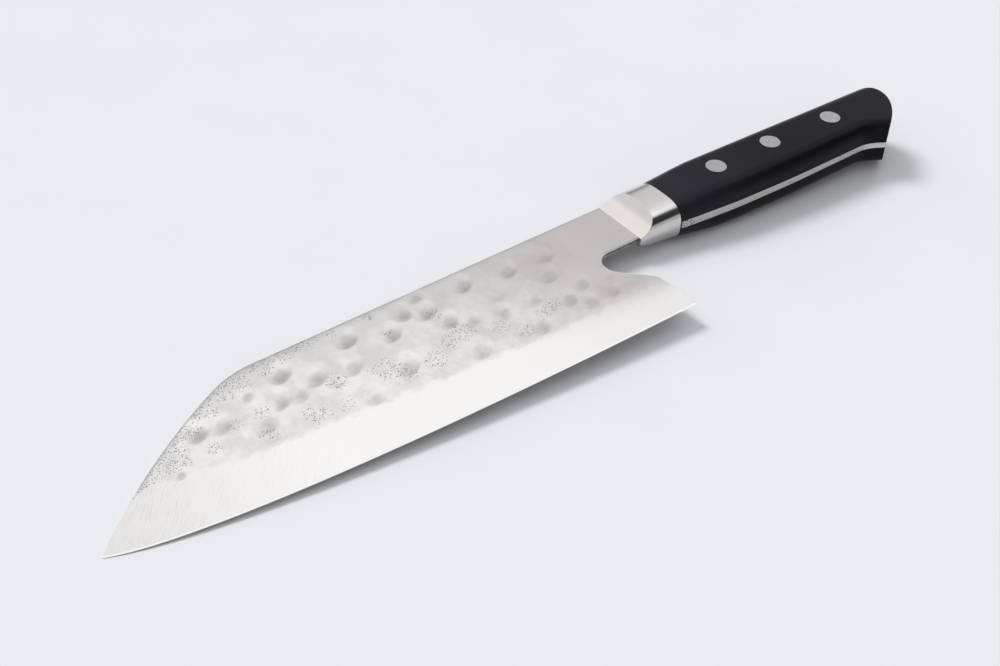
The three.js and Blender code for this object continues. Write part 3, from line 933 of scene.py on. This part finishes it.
class KNIFE_OT_bolster(bpy.types.Operator):
    """Parts the bolster from the handle and hollows its front"""

    bl_idname = "knife.bolster"
    bl_label = "Polished bolster"

    def execute(self, context):
        handle = context.scene.knife_handle
        colours = context.scene.knife_colours
        finishes = [
            bolster_steel("bolster_steel", colours.bolster, roughness=0.14),
            bolster_steel("cove_steel", colours.cove, roughness=0.08),
        ]
        body = finished(grip_blank(handle), finishes, lambda face: BODY_FINISH)
        bisected(body, (handle.bolster_length - handle.seam, 0, 0), (1, 0, 0), keep_ahead=False)
        for side in (1, -1):
            cutter = finished(cove_cutter(handle, side), finishes, lambda face: COVE_FINISH)
            cut(body, cutter, "DIFFERENCE")
        renamed(body, "polished_bolster")
        bevelled(body, handle.seam_round, degrees=35)
        smooth(body, degrees=12)
        fitted(body, "bolster_steel", "bolster")
        return {"FINISHED"}


def rivet_body(handle, spare, longer):
    """A rivet with a head at each end, standing on z at the middle of the handle."""
    half = handle.grip_thickness / 2 + longer
    shoulder = handle.grip_thickness / 2 - handle.head_depth - spare
    shank = handle.shank_radius + spare
    widen = (handle.head_radius + spare) / shank
    cylinder = bpy.ops.mesh.primitive_cylinder_add
    body = added("rivet", cylinder, vertices=RIVET_FACETS, radius=shank, depth=2 * shoulder)
    for side in (1, -1):
        with editing(body, "FACE") as made:
            level = [f for f in made.faces if f.normal.z * side > LEVEL_SLOPE]
            pick(made, [f for f in level if f.calc_center_median().z * side > 0])
            bpy.ops.mesh.extrude_region_move(TRANSFORM_OT_translate={"value": (0, 0, 0)})
            bpy.ops.transform.resize(value=(widen, widen, 1))
            head = (0, 0, side * (half - shoulder))
            bpy.ops.mesh.extrude_region_move(TRANSFORM_OT_translate={"value": head})
    return closed(body)


def rivet_places():
    """Each rivet's name and its place in the handle."""
    return {name: Matrix.Translation((x * MM, -y * MM, 0)) for name, (x, y) in RIVETS.items()}


def parted(handle):
    """The handle behind the bolster, with its rivet holes."""
    body = grip_blank(handle)
    bisected(body, (handle.bolster_length, 0, 0), (1, 0, 0), keep_ahead=True)
    for place in rivet_places().values():
        hole = rivet_body(handle, spare=handle.seam, longer=MM)
        cut(body, placed(hole, place), "DIFFERENCE")
    return body


class KNIFE_OT_tang(bpy.types.Operator):
    """Parts the tang from the handle"""

    bl_idname = "knife.tang"
    bl_label = "Ground tang"

    def execute(self, context):
        handle = context.scene.knife_handle
        body = parted(handle)
        bisected(body, (handle.bolster_length + handle.tang_gap, 0, 0), (1, 0, 0), keep_ahead=True)
        for side in (1, -1):
            bisected(body, *tang_plane(handle, side), keep_ahead=side < 0)
        renamed(body, "ground_tang")
        smooth(body, degrees=30)
        finished(body, [tang_steel(context.scene.knife_colours)])
        fitted(body, "tang_steel", "tang")
        return {"FINISHED"}


class KNIFE_OT_scales(bpy.types.Operator):
    """Parts the two scales from the handle"""

    bl_idname = "knife.scales"
    bl_label = "Black scales"

    def execute(self, context):
        handle = context.scene.knife_handle
        finish = black_grip(context.scene.knife_colours)
        for side, word in ((1, "left"), (-1, "right")):
            body = parted(handle)
            point, normal = tang_plane(handle, side)
            point.z += side * handle.seam
            bisected(body, point, normal, keep_ahead=side > 0)
            renamed(body, f"black_scale_{word}")
            bevelled(body, handle.seam_round, degrees=50)
            smooth(body, degrees=12)
            finished(body, [finish])
            fitted(body, "scale_black", f"scale_{word}")
        return {"FINISHED"}


class KNIFE_OT_rivets(bpy.types.Operator):
    """Turns one rivet and sets a copy in each hole"""

    bl_idname = "knife.rivets"
    bl_label = "Rivets"

    def execute(self, context):
        handle = context.scene.knife_handle
        model = rivet_body(handle, spare=0, longer=0)
        bevelled(model, handle.seam_round, degrees=50)
        smooth(model, degrees=15)
        finished(model, [rivet_steel(context.scene.knife_colours)])
        for name, place in rivet_places().items():
            rivet = placed(renamed(copied(model), f"flush_rivet_{name}"), place)
            fitted(rivet, "rivet_steel", f"rivet_post_{name}", f"rivet_socket_{name}")
        bpy.data.objects.remove(model)
        return {"FINISHED"}


# Finishes


class Wire:
    """A socket of a node tree. Arithmetic on it adds Math nodes."""

    def __init__(self, tree, socket=None):
        self.tree = tree
        self.socket = socket

    def node(self, kind, settings=None, inputs=None, out=0):
        """Adds a node with its settings and its inputs' values or links. Gives one of its outputs."""
        node = self.tree.nodes.new(kind)
        for name, value in (settings or {}).items():
            setattr(node, name, value)
        for name, value in (inputs or {}).items():
            if isinstance(value, Wire):
                self.tree.links.new(value.socket, node.inputs[name])
            else:
                node.inputs[name].default_value = value
        return Wire(self.tree, node.outputs[out])

    def math(self, operation, first, second):
        """A Math node on two values or links."""
        return self.node("ShaderNodeMath", {"operation": operation}, {0: first, 1: second})

    def __add__(self, other):
        return self.math("ADD", self, other)

    def __radd__(self, other):
        return self.math("ADD", other, self)

    def __sub__(self, other):
        return self.math("SUBTRACT", self, other)

    def __rsub__(self, other):
        return self.math("SUBTRACT", other, self)

    def __mul__(self, other):
        return self.math("MULTIPLY", self, other)

    def __rmul__(self, other):
        return self.math("MULTIPLY", other, self)

    def step(self, low, high):
        """An eased step from 0 at one value to 1 at another."""
        settings = {"interpolation_type": "SMOOTHSTEP"}
        inputs = {"Value": self, "From Min": low, "From Max": high}
        return self.node("ShaderNodeMapRange", settings, inputs)

    def mix(self, first, second):
        """A colour part of the way from one to another by this value."""
        inputs = {0: self, 6: rgba(first), 7: rgba(second)}
        return self.node("ShaderNodeMix", {"data_type": "RGBA"}, inputs, out=2)


def rgba(tint):
    """A colour with its alpha, or a link as it is."""
    return tint if isinstance(tint, Wire) else (*tint[:3], 1.0)


def toned(tint, brightness):
    """A colour made darker, or lighter by a number over 1."""
    return tuple(brightness * c for c in tint)


class Finish:
    """A material under construction."""

    def __init__(self, name):
        self.material = bpy.data.materials.new(name)
        self.material.use_nodes = True
        self.tree = self.material.node_tree
        self.shader = self.tree.nodes["Principled BSDF"]
        self.root = Wire(self.tree)
        self.place = self.root.node("ShaderNodeTexCoord", out="Object")

    def stretched(self, turn, scale):
        """Object coordinates, turned and then drawn out."""
        turned = self.root.node("ShaderNodeMapping", None, {"Vector": self.place, "Rotation": turn})
        return self.root.node("ShaderNodeMapping", None, {"Vector": turned, "Scale": scale})

    def noise(self, length, detail=3, roughness=0.5, at=None):
        """Noise with features of a length in metres."""
        inputs = {"Vector": at or self.place, "Scale": 1 / length}
        inputs |= {"Detail": detail, "Roughness": roughness}
        return self.root.node("ShaderNodeTexNoise", None, inputs)

    def lines(self, width, degrees=0, scale=(1, 1, 1), detail=2):
        """Scratches of a width in metres, turned about z and drawn out where the scale is small."""
        at = self.stretched((0, 0, math.radians(degrees)), scale)
        return self.noise(width, detail=detail, at=at)

    def along(self):
        """How far a point lies along the knife, from its middle towards the butt."""
        return self.root.node("ShaderNodeSeparateXYZ", None, {"Vector": self.place}, out="X")

    def specks(self, apart):
        """Distance from scattered specks as a share of their spacing, and a random number for each."""
        inputs = {"Vector": self.place, "Scale": 1 / apart}
        spots = self.root.node("ShaderNodeTexVoronoi", None, inputs)
        tint = Wire(self.tree, spots.socket.node.outputs["Color"])
        return spots, self.root.node("ShaderNodeSeparateColor", None, {"Color": tint})

    def attribute(self, name):
        """A number kept for each point of the piece."""
        return self.root.node("ShaderNodeAttribute", {"attribute_name": name}, out="Fac")

    def bump(self, height, distance):
        """A bump on the surface, with a height of 1 as high as a distance in metres."""
        return self.root.node("ShaderNodeBump", None, {"Height": height, "Distance": distance})

    def shaded(self, **sockets):
        """Sets or links the shader's sockets, and gives the material."""
        for name, value in sockets.items():
            socket = self.shader.inputs[name.replace("_", " ").title().replace("Ior", "IOR")]
            if isinstance(value, Wire):
                self.tree.links.new(value.socket, socket)
            else:
                socket.default_value = value
        return self.material


def side_tone(finish, colours, lines):
    """Colour of the blade's sides: forged steel above with painted shade, ground steel below, and the
    border between.
    """
    along = finish.along()
    height = finish.attribute("grind_height")
    # Cloudy forged steel, darkened by the spine with painted shade, greyer by the bolster and browned
    # there in spots
    cloud = finish.noise(6 * MM, detail=4, roughness=0.6)
    forged = cloud.step(0.35, 0.65).mix(toned(colours.hammered, 0.85), colours.hammered)
    # Painted shade: darker where the blade stands tall above its bevel, towards the spine
    forged = (0.7 * height.step(1.8, 3.4)).mix(forged, toned(colours.hammered, 0.7))
    forged = along.step(-40 * MM, 30 * MM).mix(forged, colours.neck)
    browned = finish.noise(11 * MM, detail=4).step(0.48, 0.66) * along.step(-60 * MM, 0)
    forged = (0.4 * browned).mix(forged, colours.browned)
    # Painted shade in the edgeward half of each hammer mark, and a painted shade line along the spine
    uneven = 0.8 * (finish.noise(2 * MM, detail=4) - 0.5)
    painted_shade = (finish.attribute("hammer_mark_shade") + uneven).step(0.1, 1)
    dark = 0.65 * painted_shade + 0.8 * finish.attribute("rim_shade_line")
    forged = dark.mix(forged, toned(colours.hammered, 0.55))
    # Ground steel, duller at both ends and scratched most by the tip
    tip = (1 - along.step(-135 * MM, -70 * MM)) * finish.noise(7 * MM, detail=2).step(0.3, 0.6)
    ends = 0.9 * (1 - along.step(-150 * MM, -80 * MM)) + 0.45 * along.step(-30 * MM, 30 * MM)
    worn = ends + (0.08 + 0.5 * tip) * lines.step(0.48, 0.7)
    ground = worn.mix(colours.ground, toned(colours.ground, 0.8))
    # A ragged border, which blurs towards the heel
    ragged = height + 0.3 * finish.noise(4 * MM, detail=3)
    sharp = ragged.step(1.02, 1.16)
    soft = ragged.step(0.6, 1.55)
    upper = soft + (sharp - soft) * (1 - along.step(-30 * MM, 20 * MM))
    return upper.mix(ground, forged)


def grinding_lines(finish):
    """Straight slanting scratches of the grinding stone."""
    return finish.lines(0.24 * MM, -48, (0.03, 1, 1))


def hammered_steel(colours):
    """Forged steel with black scale left in its pits."""
    finish = Finish("hammered_steel")
    ragged = 1.2 * finish.attribute("forge_scale") + 1.4 * finish.noise(1.8 * MM, detail=4)
    dots, chance = finish.specks(0.37 * MM)
    pits = (0.48 * ragged.step(0.95, 1.8) * chance - dots).step(-0.06, 0.06)
    grain = finish.noise(0.3 * MM, detail=2)
    steel = side_tone(finish, colours, grinding_lines(finish))
    return finish.shaded(
        base_color=pits.mix(steel, colours.scale), metallic=0.8 - 0.5 * pits,
        roughness=0.15 + 0.08 * grain + 0.3 * pits, normal=finish.bump(0.3 * grain - pits, 0.01 * MM)
    )


def ground_steel(colours):
    """Steel from the grinding stone, with short slanting scratches."""
    finish = Finish("ground_steel")
    lines = grinding_lines(finish)
    return finish.shaded(
        base_color=side_tone(finish, colours, lines), metallic=0.8,
        roughness=0.2 + 0.1 * lines, normal=finish.bump(lines, 0.002 * MM)
    )


def rim_steel(colours):
    """Steel of the spine, the tip line and the notch."""
    finish = Finish("rim_steel")
    lines = finish.lines(0.2 * MM, scale=(1, 1, 0.08))
    return finish.shaded(
        base_color=lines.step(0.3, 0.7).mix(toned(colours.hammered, 0.7), colours.hammered),
        metallic=0.5, roughness=0.4 + 0.1 * lines, normal=finish.bump(lines, 0.006 * MM)
    )


def wall_steel(colours):
    """Forge scale on the wall of the finger notch, rubbed bright in places."""
    finish = Finish("wall_steel")
    rubbed = finish.noise(0.8 * MM, detail=4, roughness=0.6)
    fine = finish.noise(0.25 * MM, detail=2)
    return finish.shaded(
        base_color=rubbed.step(0.45, 0.75).mix(colours.scale, toned(colours.hammered, 0.35)),
        metallic=0.4, roughness=0.45 + 0.2 * fine, normal=finish.bump(fine, 0.02 * MM)
    )


def honed_steel(colours):
    """Steel of the honed strip along the edge."""
    finish = Finish("honed_steel")
    lines = finish.lines(0.1 * MM, 70, (0.1, 1, 1))
    return finish.shaded(
        base_color=lines.step(0.3, 0.7).mix(toned(colours.ground, 0.95), colours.ground),
        metallic=1.0, roughness=0.22 + 0.1 * lines, normal=finish.bump(lines, 0.004 * MM)
    )


def bolster_steel(name, tint, roughness):
    """Steel with the faint lines of a polishing wheel."""
    finish = Finish(name)
    lines = finish.lines(0.12 * MM, scale=(1, 0.05, 0.05), detail=3)
    haze = finish.noise(4 * MM, detail=1)
    return finish.shaded(
        base_color=haze.step(0.2, 0.8).mix(toned(tint, 0.96), tint), metallic=1.0,
        roughness=roughness + 0.06 * lines, normal=finish.bump(lines, 0.0004 * MM)
    )


def tang_steel(colours):
    """Ground edge of the tang, with dark specks, most of them by the bolster."""
    finish = Finish("tang_steel")
    lines = finish.lines(0.12 * MM, scale=(0.06, 1, 1), detail=3)
    front = 1 - finish.along().step(47 * MM, 60 * MM)
    specks = (finish.noise(0.5 * MM, detail=2) + 0.14 * front).step(0.64, 0.72)
    steel = lines.step(0.3, 0.7).mix(toned(colours.tang, 0.85), colours.tang)
    return finish.shaded(
        base_color=specks.mix(steel, toned(colours.tang, 0.2)), metallic=1.0,
        roughness=0.26 + 0.14 * lines, normal=finish.bump(lines, 0.006 * MM)
    )


def black_grip(colours):
    """Black moulded grip with a satin gloss and faint handling marks, with a painted sheen that greys it
    towards the bolster.
    """
    finish = Finish("black_grip")
    scuffs = finish.lines(0.2 * MM, 25, (0.05, 1, 1))
    haze = finish.noise(8 * MM, detail=4)
    fine = finish.noise(0.3 * MM, detail=2)
    # Painted sheen: lighter towards the bolster
    painted_sheen = (1 - finish.along().step(40 * MM, 95 * MM)) * (0.6 + 0.6 * haze)
    return finish.shaded(
        base_color=painted_sheen.mix(colours.grip, toned(colours.grip, 3.5)),
        roughness=0.22 + 0.1 * haze + 0.06 * scuffs,
        normal=finish.bump(fine, 0.003 * MM), specular_ior_level=0.08
    )


def rivet_steel(colours):
    """Satin heads of the rivets."""
    finish = Finish("rivet_steel")
    lines = finish.lines(0.12 * MM, 20, (0.08, 1, 1), detail=3)
    haze = finish.noise(1.5 * MM, detail=3)
    return finish.shaded(
        base_color=haze.step(0.3, 0.7).mix(toned(colours.rivet, 0.88), colours.rivet),
        metallic=1.0, roughness=0.34 + 0.1 * lines, normal=finish.bump(lines, 0.001 * MM)
    )


# Studio


def studio_light(scene):
    """A softbox over the whole studio, dimmed in places so that the steel shows its shape."""
    world = bpy.data.worlds.new("studio")
    scene.world = world
    world.use_nodes = True
    tree = world.node_tree
    root = Wire(tree)
    ray = root.node("ShaderNodeTexCoord", out="Generated")

    def towards(direction):
        """How far a ray points in a direction, from -1 to 1."""
        inputs = {0: ray, 1: Vector(direction).normalized()}
        return root.node("ShaderNodeVectorMath", {"operation": "DOT_PRODUCT"}, inputs, out="Value")

    def patch(direction, inner, outer):
        """How deep a ray lies in a round patch of the dome, by its inner and outer angle in degrees."""
        return towards(direction).step(math.cos(math.radians(outer)), math.cos(math.radians(inner)))

    # The far half, which darkens the lower right of each hammer mark
    up = towards((0, 0, 1))
    rightwards = towards((1, 0, 0)).step(-0.3, 0.1)
    far = (1 - towards((0.32, -0.68, 0.659)).step(-0.24, 0.15)) * up.step(0, 0.3) * rightwards
    # A dim corner and side, a bright strip for the bolster, and a dark patch that fades lower down
    far_right = towards((0.66, 0.6, 0.45)).step(0.8, 1.0)
    left = towards((-1, 0, 0)).step(0.35, 0.6)
    strip = patch((0.6, -0.1, 0.79), 6, 18)
    dark = patch((0.62, -0.72, 0.3), 36, 45) * (0.45 + 0.55 * up.step(0.22, 0.42))
    softbox = (1.05 + 0.4 * strip) * (1 - 0.65 * far)
    strength = softbox * (1 - 0.18 * far_right) * (1 - 0.22 * left) * (1 - 0.97 * dark)
    back = tree.nodes["Background"]
    back.inputs["Color"].default_value = rgba(scene.knife_colours.light)
    tree.links.new(strength.socket, back.inputs["Strength"])


class KNIFE_OT_studio(bpy.types.Operator):
    """Lays the floor and sets the light and the camera"""

    bl_idname = "knife.studio"
    bl_label = "Studio"

    def execute(self, context):
        scene = context.scene
        stage = scene.knife_stage
        scene.view_settings.view_transform = "Standard"
        floor = added("studio_floor", bpy.ops.mesh.primitive_plane_add, size=stage.floor_size)
        finish = Finish("studio_floor")
        cloud = finish.noise(40 * MM, detail=2).step(0.3, 0.7)
        pale = scene.knife_colours.floor
        finished(floor, [finish.shaded(base_color=cloud.mix(toned(pale, 0.99), pale), roughness=0.6)])
        studio_light(scene)
        bpy.ops.object.light_add(type="SUN", rotation=LAMP_SIDE.to_track_quat("Z", "Y").to_euler())
        lamp = context.object
        lamp.data.energy = stage.lamp_energy
        lamp.data.angle = stage.lamp_angle
        lamp.visible_glossy = False
        up = math.sin(stage.elevation)
        flat = math.cos(stage.elevation)
        back = Vector((math.sin(stage.azimuth) * flat, -math.cos(stage.azimuth) * flat, up))
        turn = (-back).to_track_quat("-Z", "Y").to_matrix() @ Matrix.Rotation(stage.roll, 3, "Z")
        place = Vector(stage.target) + back * stage.distance
        bpy.ops.object.camera_add(location=place, rotation=turn.to_euler())
        camera = context.object
        camera.data.sensor_width = SENSOR_WIDTH
        camera.data.lens = stage.lens
        camera.data.clip_start = CLIP_START
        scene.camera = camera
        return {"FINISHED"}


class KNIFE_PT_panel(bpy.types.Panel):
    """Lists the knife's sizes, colours and steps"""

    bl_label = "Santoku knife"
    bl_idname = "KNIFE_PT_panel"
    bl_space_type = "VIEW_3D"
    bl_region_type = "UI"
    bl_category = "Knife"

    def draw(self, context):
        for group, steps in PANEL_ROWS:
            settings = getattr(context.scene, group)
            box = self.layout.box()
            for name in type(settings).__annotations__:
                box.prop(settings, name)
            for step in steps:
                box.operator(step.bl_idname)


PANEL_ROWS = [
    ("knife_stage", [KNIFE_OT_studio]),
    ("knife_blade", [KNIFE_OT_blade]),
    ("knife_handle", [KNIFE_OT_bolster, KNIFE_OT_tang, KNIFE_OT_scales, KNIFE_OT_rivets]),
    ("knife_colours", []),
]
GROUPS = {
    "knife_blade": BladeSizes,
    "knife_handle": HandleSizes,
    "knife_colours": KnifeColours,
    "knife_stage": StageSettings,
}
OPERATORS = [step for _, steps in PANEL_ROWS for step in steps]


def register():
    """Adds the settings, the operators and the panel."""
    for name, group in GROUPS.items():
        bpy.utils.register_class(group)
        setattr(bpy.types.Scene, name, bpy.props.PointerProperty(type=group))
    for cls in (*OPERATORS, KNIFE_PT_panel):
        bpy.utils.register_class(cls)


def unregister():
    """Takes them out again."""
    for cls in (KNIFE_PT_panel, *reversed(OPERATORS)):
        bpy.utils.unregister_class(cls)
    for name, group in GROUPS.items():
        delattr(bpy.types.Scene, name)
        bpy.utils.unregister_class(group)


def main():
    """Makes the stage and the pieces in order."""
    register()
    bpy.ops.knife.studio()
    bpy.ops.knife.blade()
    bpy.ops.knife.bolster()
    bpy.ops.knife.tang()
    bpy.ops.knife.scales()
    bpy.ops.knife.rivets()


if __name__ == "__main__":
    main()
